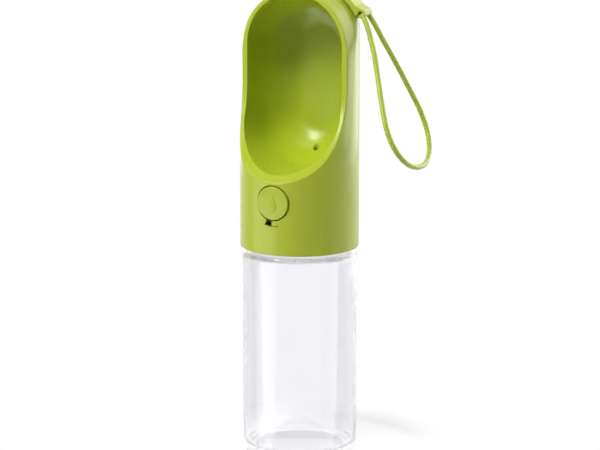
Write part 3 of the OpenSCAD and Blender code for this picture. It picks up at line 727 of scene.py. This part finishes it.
class DOGBOTTLE_OT_stage(bpy.types.Operator):
    """Adds the floor, the light background and the lamps"""
    bl_idname = "dogbottle.stage"
    bl_label = "Stage"

    def execute(self, context):
        c = colours()
        scene = context.scene
        scene.view_settings.view_transform = "Standard"
        self.light_background(scene)
        bm = bmesh.new()
        bmesh.ops.create_grid(bm, x_segments=2, y_segments=2, size=2500.0)
        finish_mesh("floor", bm, self.floor_material(c["floor"]))

        def lamp(name, place, size, power, shades=True, shines=True):
            """Area lamp aimed at the object. It can be kept from shading it or from shining on it."""
            data = bpy.data.lights.new(name, "AREA")
            data.shape = "RECTANGLE"
            data.size, data.size_y = size
            data.energy = power
            obj = bpy.data.objects.new(name, data)
            obj.location = place
            aim = Vector((0, 0, min(0.16, place[2]))) - Vector(place)
            obj.rotation_mode = "QUATERNION"
            obj.rotation_quaternion = aim.to_track_quat("-Z", "Y")
            obj.visible_camera = False
            obj.visible_transmission = False
            obj.visible_diffuse = shades
            obj.visible_glossy = shines
            scene.collection.objects.link(obj)

        lamp("key", (-0.05, -0.6, 1.25), (0.35, 0.35), 9.9, shines=False)
        lamp("side", (-0.3, -0.8, 1.15), (0.35, 0.35), 7.0, shines=False)
        lamp("spot", (-0.33, -0.81, 0.62), (0.22, 0.42), 4.6, shades=False)
        lamp("left_side", (-0.65, -0.3, 0.45), (0.3, 0.4), 1.2, shines=False)
        lamp("left_back", (-0.7, 0.5, 0.3), (0.4, 0.8), 2.5)
        lamp("right_back", (0.42, 0.72, 0.35), (1.0, 0.9), 8.3)
        return {"FINISHED"}

    @staticmethod
    def light_background(scene):
        """White for the camera and through the bottle. Glossy pieces mirror it as dark in front."""
        world = bpy.data.worlds.new("studio")
        scene.world = world
        world.use_nodes = True
        tree = world.node_tree
        light = tree.nodes["Background"]
        light.inputs["Color"].default_value = (0.97, 0.98, 1.0, 1)
        light.inputs["Strength"].default_value = 0.03
        white = tree.nodes.new("ShaderNodeBackground")
        white.inputs["Color"].default_value = (1, 1, 1, 1)
        white.inputs["Strength"].default_value = 1.0
        way = tree.nodes.new("ShaderNodeTexCoord")
        parts = tree.nodes.new("ShaderNodeSeparateXYZ")
        tree.links.new(way.outputs["Generated"], parts.inputs[0])
        shine = rescaled(tree, parts.outputs["Y"], *SKY_MIRROR)
        path = tree.nodes.new("ShaderNodeLightPath")
        gloss = maths(tree, "MULTIPLY", path.outputs["Is Glossy Ray"], shine)
        direct = maths(tree, "MAXIMUM", path.outputs["Is Camera Ray"], path.outputs["Is Transmission Ray"])
        shown = mixed(tree, maths(tree, "MAXIMUM", gloss, direct), light.outputs[0], white.outputs[0])
        tree.links.new(shown, tree.nodes["World Output"].inputs["Surface"])

    @staticmethod
    def floor_material(rgb):
        """Pale floor that fades to white away from the object, and keeps its shadow. Glossy pieces mirror it
        as dark in front and white behind, with a white band at the front left."""
        mat, tree, shader = new_material("pale_floor")
        shader.inputs["Base Color"].default_value = (*rgb, 1)
        shader.inputs["Roughness"].default_value = 0.9
        shader.inputs["Specular IOR Level"].default_value = 0.0
        place = tree.nodes.new("ShaderNodeTexCoord").outputs["Object"]
        path = tree.nodes.new("ShaderNodeLightPath")
        far = vector_maths(tree, "LENGTH", place).outputs["Value"]

        fade = rescaled(tree, far, *SHADOW_ZONE, GLOW_SHARE)
        seen = maths(tree, "MAXIMUM", path.outputs["Is Camera Ray"], path.outputs["Is Transmission Ray"])
        glow = tree.nodes.new("ShaderNodeEmission")
        glow.inputs["Color"].default_value = (1, 1, 1, 1)
        strength = maths(tree, "MAXIMUM", maths(tree, "DIVIDE", NEAR_GLOW, fade), 1.0)
        tree.links.new(strength, glow.inputs["Strength"])
        pale = mixed(tree, maths(tree, "MULTIPLY", fade, seen), shader.outputs[0], glow.outputs[0])

        from_wall = vector_maths(tree, "SUBTRACT", place, BAND_START).outputs["Vector"]
        heading = vector_maths(tree, "NORMALIZE", from_wall).outputs["Vector"]
        parts = tree.nodes.new("ShaderNodeSeparateXYZ")
        tree.links.new(heading, parts.inputs[0])
        behind = rescaled(tree, parts.outputs["Y"], *FLOOR_MIRROR)
        near = rescaled(tree, far, *BAND_END, BAND_LEVEL, 0.0)
        band_way = (math.sin(BAND_TURN), -math.cos(BAND_TURN), 0)
        along = vector_maths(tree, "DOT_PRODUCT", heading, band_way).outputs["Value"]
        inside = rescaled(tree, along, math.cos(BAND_HALF[1]), math.cos(BAND_HALF[0]))
        mirrored = tree.nodes.new("ShaderNodeEmission")
        level = maths(tree, "MAXIMUM", behind, maths(tree, "MULTIPLY", near, inside))
        tree.links.new(level, mirrored.inputs["Strength"])
        only_mirrored = maths(tree, "SUBTRACT", path.outputs["Is Glossy Ray"],
                              path.outputs["Is Transmission Ray"], clamp=True)
        shown = mixed(tree, only_mirrored, pale, mirrored.outputs[0])
        tree.links.new(shown, tree.nodes["Material Output"].inputs["Surface"])
        return mat


class DOGBOTTLE_OT_bottle(bpy.types.Operator):
    """Builds the clear bottle with its neck and thread"""
    bl_idname = "dogbottle.bottle"
    bl_label = "Bottle"

    def execute(self, context):
        s, c = sizes(), colours()
        r, wall, shoulder = s["bottle_r"], s["bottle_wall"], s["shoulder_h"]
        neck, bore, top = s["neck_r"], s["neck_r"] - s["bottle_wall"], s["neck_top"]
        low_round, high_round = s["base_round"], s["shoulder_round"]
        foot = r - low_round - s["foot_w"]
        inner = max(low_round, high_round) + wall
        ceiling = shoulder - wall
        levels = (0.1, 0.25, 0.5, 0.75, 0.9)

        # Roundings of the foot's inner side, the neck's root, its upper edges and its throat
        turn, root, edge, throat = 0.6, 0.8, 0.5, 1.2
        hollow_end, ring_start = foot - 0.9, foot + 0.3
        outline = [(0, s["base_hollow"]), (hollow_end, s["base_hollow"])]
        outline += arc_points((hollow_end, turn), turn, 90, 0, 4)[1:]
        outline += arc_points((ring_start, turn), turn, 180, 270, 4)
        outline += arc_points((r - low_round, low_round), low_round, 270, 360, 8)
        outline += [(r, shoulder * f) for f in levels]
        outline += arc_points((r - high_round, shoulder - high_round), high_round, 0, 90, 8)
        outline += arc_points((neck + root, shoulder + root), root, 270, 180, 4)
        outline += arc_points((neck - edge, top - edge), edge, 0, 90, 4)
        outline += arc_points((bore + edge, top - edge), edge, 90, 180, 4)
        outline += arc_points((bore + throat, ceiling + throat), throat, 180, 270, 5)
        outline += arc_points((r - wall - inner, ceiling - inner), inner, 90, 0, 8)
        outline += [(r - wall, shoulder * f) for f in reversed(levels[1:4])]
        outline += arc_points((r - wall - inner, s["bottle_floor"] + inner), inner, 0, -90, 8)
        outline += [(0, s["bottle_floor"])]
        body = spun(outline, steps=192)
        body = combine(body, [self.thread(s)], "UNION")
        bottle = finish_mesh("bottle_body", body, clear_plastic("clear_plastic", c["clear"]), sharp=50)
        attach(bottle, "bottle")
        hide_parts("bottle")
        return {"FINISHED"}

    @staticmethod
    def thread(s):
        """Ridge of the thread, one and a half turns. It rises out of the neck and sinks back at its ends."""
        pitch, turns, steps, z = s["thread_pitch"], 1.5, 108, s["thread_start"]
        sunk, crest, buried = s["neck_r"] - 0.5, s["neck_r"] + s["thread_h"], s["neck_r"] - 0.3
        base, tip = 0.24 * pitch, 0.11 * pitch

        # The crest's edges are cut. At each end the ridge grows over a ninth of a turn.
        side = [(sunk, base), (crest - 0.3, tip + 0.15), (crest, tip - 0.2)]
        growth = 9
        corners = [(r, 0, z - h) for r, h in side] + [(r, 0, z + h) for r, h in reversed(side)]
        bm = flat_face(corners)
        sweep(bm, (0, 0, 0), (0, 0, 1), math.tau * turns, steps, pitch * turns / steps)
        for v in bm.verts:
            part = math.atan2(v.co.y, v.co.x) / math.tau
            rise = part + round((v.co.z - z) / pitch - part)
            share = max(0.0, min(1.0, rise * growth, (turns - rise) * growth))
            r = math.hypot(v.co.x, v.co.y)
            if r > sunk + 0.1:
                keep = buried + (r - buried) * share
                v.co.x *= keep / r
                v.co.y *= keep / r
        bmesh.ops.recalc_face_normals(bm, faces=bm.faces)
        return bm


class DOGBOTTLE_OT_head_shell(bpy.types.Operator):
    """Builds the head's outer shell with its rim, its button hole and the strap's ears"""
    bl_idname = "dogbottle.head_shell"
    bl_label = "Head shell"

    def execute(self, context):
        s, c = sizes(), colours()
        cols = opening_columns(s)
        wall, steps, lip = s["shell_wall"], 44, 3
        outer, rho_outer, at = rim_loop(s, cols, 0.0)
        inner, rho_inner, _ = rim_loop(s, cols, wall)
        outside = side_paths(s, cols, outer, 0.0, steps)[:, ::-1]
        inside = side_paths(s, cols, inner, wall, steps)
        strip = np.stack([at(rho_outer + (rho_inner - rho_outer) * k / lip) for k in range(1, lip)], 1)
        place = np.concatenate([outside, strip, inside], 1)
        bm, row_of = mapped_grid(len(cols), place.shape[1] - 1, place)
        rim_edges = [e for e in bm.edges if all(v[row_of] == steps for v in e.verts)]
        low = [e for e in bm.edges if e.is_boundary]
        bmesh.ops.bridge_loops(bm, edges=low)
        bmesh.ops.recalc_face_normals(bm, faces=bm.faces)
        low_edges = edges_between(bm, lambda p: p.z < s["head_low"] + 0.01, 60)
        bevel(bm, rim_edges, s["rim_bevel"], 4)
        bevel(bm, [e for e in low_edges if e.is_valid], 0.4, 2)
        reach = (-s["head_r"] - CUT_BEFORE, -s["head_r"] + CUT_BEHIND)
        hole = cylinder_y(s["button_hole_r"], *reach, s["button_z"])
        bm = combine(bm, [hole, slot_cutter(s, *reach)], "DIFFERENCE")

        def near_button(p):
            return p.y < reach[1] + 2 and math.hypot(p.x, p.z - s["button_z"]) < SLOT_R + 1

        bmesh.ops.remove_doubles(bm, verts=bm.verts, dist=0.02)
        bevel(bm, edges_between(bm, near_button, 50), 0.25, 2)
        half = s["strap_w"] / 2 + EAR_GAP
        ears = [strap_ear(s, s["strap_mid"] - half - EAR_THICK), strap_ear(s, s["strap_mid"] + half)]
        bm = combine(bm, ears, "UNION")
        shell = finish_mesh("head_shell_body", bm, lime_plastic(c), sharp=38)
        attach(shell, "head")
        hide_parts("head_shell")
        return {"FINISHED"}


class DOGBOTTLE_OT_trough(bpy.types.Operator):
    """Builds the drinking trough with its lip and the hole that fills it"""
    bl_idname = "dogbottle.trough"
    bl_label = "Trough"

    def execute(self, context):
        s, c = sizes(), colours()
        cols = opening_columns(s)
        lip, deep, bend, flat = 3, 12, 20, 3
        _, rho_seam, at = rim_loop(s, cols, s["shell_wall"] + s["shell_seam"])
        mouth = np.full(len(cols), s["scoop_r"])
        strip = np.stack([at(rho_seam + (mouth - rho_seam) * k / lip) for k in range(lip + 1)], 1)
        flat_r = s["scoop_r"] - s["scoop_round"]
        round_y = s["scoop_back"] - s["scoop_round"]
        place = np.zeros((len(cols), lip + deep + bend + flat + 1, 3))
        place[:, : lip + 1] = strip
        for i, (zo, dx, dz, _) in enumerate(cols):
            start_y = strip[i, lip, 1]
            path = [(s["scoop_r"], start_y + (round_y - start_y) * k / deep) for k in range(1, deep + 1)]
            path += [(flat_r + s["scoop_round"] * math.cos(a), round_y + s["scoop_round"] * math.sin(a))
                     for a in (math.pi / 2 * k / bend for k in range(1, bend + 1))]
            path += [(flat_r * (1 - k / flat), s["scoop_back"]) for k in range(1, flat + 1)]
            place[i, lip + 1:] = [(rho * dx, y, zo + rho * dz) for rho, y in path]
        bm, row_of = mapped_grid(len(cols), place.shape[1] - 1, place)
        mouth_edges = [e for e in bm.edges if all(v[row_of] == lip for v in e.verts)]
        bmesh.ops.recalc_face_normals(bm, faces=bm.faces)
        self.face_front(bm)
        bevel(bm, mouth_edges, s["lip_bevel"], 4)
        self.face_front(bm)
        bmesh.ops.solidify(bm, geom=bm.faces[:], thickness=s["liner_wall"])
        drill = bmesh.new()
        bmesh.ops.create_cone(drill, cap_ends=True, segments=48, radius1=s["outlet_r"], radius2=s["outlet_r"],
                              depth=DRILL_LENGTH)
        bmesh.ops.translate(drill, verts=drill.verts, vec=(0, s["outlet_y"], OUTLET_Z))
        bm = combine(bm, [drill], "DIFFERENCE")

        def near_outlet(p):
            return math.hypot(p.x, p.y - s["outlet_y"]) < s["outlet_r"] + 0.7 and p.z < OUTLET_Z + 6

        bevel(bm, edges_between(bm, near_outlet, 35), 0.3, 3)
        plastic = surface("trough_plastic", c["trough"], roughness=(0.2, 0.3), bump=0.02, grain=2200.0,
                          wave=40.0, tone=0.03, subsurface=0.05)
        trough = finish_mesh("trough", bm, plastic, sharp=50)
        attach(trough, "head")
        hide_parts("trough_liner")
        return {"FINISHED"}

    @staticmethod
    def face_front(bm):
        """Turns the open skin so that its back wall looks out of the trough."""
        back = max(bm.faces, key=lambda f: f.calc_center_median().y)
        if back.normal.y > 0:
            bmesh.ops.reverse_faces(bm, faces=bm.faces)


class DOGBOTTLE_OT_button(bpy.types.Operator):
    """Builds the push button with the drop on its face"""
    bl_idname = "dogbottle.button"
    bl_label = "Button"

    def execute(self, context):
        s, c = sizes(), colours()
        r = s["button_r"]
        skirt = mm_end("button_cap", 1, 1) + s["head_r"]
        wall, face = 1.3, 1.8
        outline = [(0, 0)] + arc_points((r - s["button_edge"], s["button_edge"]), s["button_edge"], -90, 0, 6)
        outline += [(r, skirt - 0.3), (r - 0.3, skirt), (r - wall + 0.3, skirt), (r - wall, skirt - 0.3)]
        outline += [(r - wall, face), (0, face)]
        bm = spun(outline, steps=96)
        bmesh.ops.rotate(bm, verts=bm.verts, cent=(0, 0, 0), matrix=Matrix.Rotation(-math.pi / 2, 3, "X"))
        bmesh.ops.translate(bm, verts=bm.verts, vec=(0, -s["head_r"], s["button_z"]))
        bmesh.ops.recalc_face_normals(bm, faces=bm.faces)
        bm = combine(bm, [self.drop(s)], "UNION")
        cap = finish_mesh("button", bm, lime_plastic(c), sharp=40)
        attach(cap, "button")
        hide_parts("button_cap")
        return {"FINISHED"}

    @staticmethod
    def drop(s):
        """Raised drop on the button's face."""
        r, tall, proud, sunk = 2.6, 6.2, 0.33, 0.6
        lean = math.degrees(math.asin(r / tall))
        middle = s["button_z"] - (tall - r) / 2
        outline = [(0.0, middle + tall)] + arc_points((0.0, middle), r, 180 - lean, 360 + lean, 28)
        bm = plate(outline, sunk, -sunk - proud)
        bevel(bm, edges_between(bm, lambda p: p.y < -proud + 0.01, 60), 0.18, 2)
        bmesh.ops.translate(bm, verts=bm.verts, vec=(0, -s["head_r"], 0))
        return bm


class DOGBOTTLE_OT_strap_band(bpy.types.Operator):
    """Builds the strap's rubber band with its eye and its end bulb"""
    bl_idname = "dogbottle.strap_band"
    bl_label = "Strap band"

    def execute(self, context):
        s, c = sizes(), colours()
        half = s["strap_w"] / 2
        low, high = s["strap_mid"] - half, s["strap_mid"] + half
        r_in = s["arch_r"] + s["strap_gap"]
        r_out = r_in + s["strap_t"]
        corners = [(r_in, low), (r_out, low), (r_out, high), (r_in, high)]
        bm = flat_face([(0, y, s["arch_z"] + r) for r, y in corners])
        sweep(bm, (0, 0, s["arch_z"]), (0, 1, 0), math.radians(STRAP_ANGLE), 40)
        bmesh.ops.recalc_face_normals(bm, faces=bm.faces)
        bx, bz = bulb_centre(s)
        eye = self.barrel(s["eye_r"], low, high, 0, s["pin_z"])
        bulb = self.barrel(s["bulb_r"], low + 1, high - 1, bx, bz)
        turn = math.radians(STRAP_ANGLE - 4)
        reach = r_in + BLEND_R
        blend = self.barrel(BLEND_R, low + 0.6, high - 0.6, reach * math.sin(turn),
                            s["arch_z"] + reach * math.cos(turn))
        bm = combine(bm, [eye, bulb, blend], "UNION")
        hole = self.barrel(PIN_HOLE_R, low - 2, high + 2, 0, s["pin_z"])
        dimple = self.barrel(DIMPLE_R, low - 2, low + 3, bx, bz)
        bm = combine(bm, [hole, dimple], "DIFFERENCE")
        band = finish_mesh("strap_band_body", bm, strap_rubber(c), sharp=40)
        remesh = band.modifiers.new("even", "REMESH")
        remesh.mode = "VOXEL"
        remesh.voxel_size = 0.00035
        remesh.use_smooth_shade = True
        smooth = band.modifiers.new("soft", "SMOOTH")
        smooth.factor = 0.6
        smooth.iterations = 5
        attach(band, "strap")
        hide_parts("strap_band")
        return {"FINISHED"}

    @staticmethod
    def barrel(r, y_from, y_to, x, z):
        """Closed cylinder along Y at a place."""
        bm = cylinder_y(r, y_from, y_to, z, 48)
        bmesh.ops.translate(bm, verts=bm.verts, vec=(x, 0, 0))
        return bm


class DOGBOTTLE_OT_inner_parts(bpy.types.Operator):
    """Gives the valve, the filter, the seals and the fasteners their finishes"""
    bl_idname = "dogbottle.inner_parts"
    bl_label = "Inner parts"

    def execute(self, context):
        c = colours()
        white = surface("white_plastic", (0.83, 0.83, 0.81), roughness=(0.35, 0.5), bump=0.03)
        milky = surface("milky_silicone", (0.70, 0.71, 0.71), roughness=(0.4, 0.55), bump=0.04,
                        subsurface=0.3)
        black = surface("black_rubber", (0.02, 0.02, 0.021), roughness=(0.5, 0.7), bump=0.06)
        steel = surface("bright_steel", (0.62, 0.63, 0.65), roughness=(0.18, 0.38), bump=0.08, grain=4000.0,
                        wave=300.0, metallic=1.0)
        carbon = surface("pressed_carbon", (0.02, 0.02, 0.022), roughness=(0.6, 0.9), bump=0.5,
                         grain=1200.0, wave=700.0, tone=0.5)
        fleece = surface("filter_fleece", (0.72, 0.72, 0.69), roughness=(0.8, 0.95), bump=0.4, grain=3000.0,
                         wave=500.0, sheen=0.3)
        finishes = {
            white: ("thread_collar", "filter_housing", "filter_lid", "valve_body", "end_plug",
                    "seal_retainer"),
            milky: ("neck_gasket", "inlet_gasket", "riser_tube"),
            black: ("plug_oring", "shaft_seal", "valve_disc"),
            steel: ("head_screws", "valve_screws", "valve_stem", "return_spring", "strap_pin"),
            carbon: ("carbon_core",),
            fleece: ("filter_pad",),
            lime_plastic(c): ("lock_ring",),
        }
        for mat, names in finishes.items():
            for name in names:
                dress(frame["nodes"][name], mat)
        return {"FINISHED"}


class DOGBOTTLE_PT_panel(bpy.types.Panel):
    """Lists the steps that build the bottle, with its sizes and colours"""
    bl_idname = "DOGBOTTLE_PT_panel"
    bl_label = "Dog travel bottle"
    bl_space_type = "VIEW_3D"
    bl_region_type = "UI"
    bl_category = "Dog Bottle"

    def draw(self, context):
        for step in STEPS:
            self.layout.operator(step.bl_idname)
        for group in (context.scene.dog_bottle_sizes, context.scene.dog_bottle_colours):
            column = self.layout.column()
            for name in type(group).__annotations__:
                column.prop(group, name)


STEPS = (
    DOGBOTTLE_OT_camera,
    DOGBOTTLE_OT_strap_cord,
    DOGBOTTLE_OT_stage,
    DOGBOTTLE_OT_bottle,
    DOGBOTTLE_OT_head_shell,
    DOGBOTTLE_OT_trough,
    DOGBOTTLE_OT_button,
    DOGBOTTLE_OT_strap_band,
    DOGBOTTLE_OT_inner_parts,
)
CLASSES = (DogBottleSizes, DogBottleColours, *STEPS, DOGBOTTLE_PT_panel)


def register():
    for cls in CLASSES:
        bpy.utils.register_class(cls)
    bpy.types.Scene.dog_bottle_sizes = bpy.props.PointerProperty(type=DogBottleSizes)
    bpy.types.Scene.dog_bottle_colours = bpy.props.PointerProperty(type=DogBottleColours)


def unregister():
    del bpy.types.Scene.dog_bottle_colours
    del bpy.types.Scene.dog_bottle_sizes
    for cls in reversed(CLASSES):
        bpy.utils.unregister_class(cls)


def main():
    register()
    for step in STEPS:
        group, name = step.bl_idname.split(".")
        getattr(getattr(bpy.ops, group), name)()


if __name__ == "__main__":
    main()
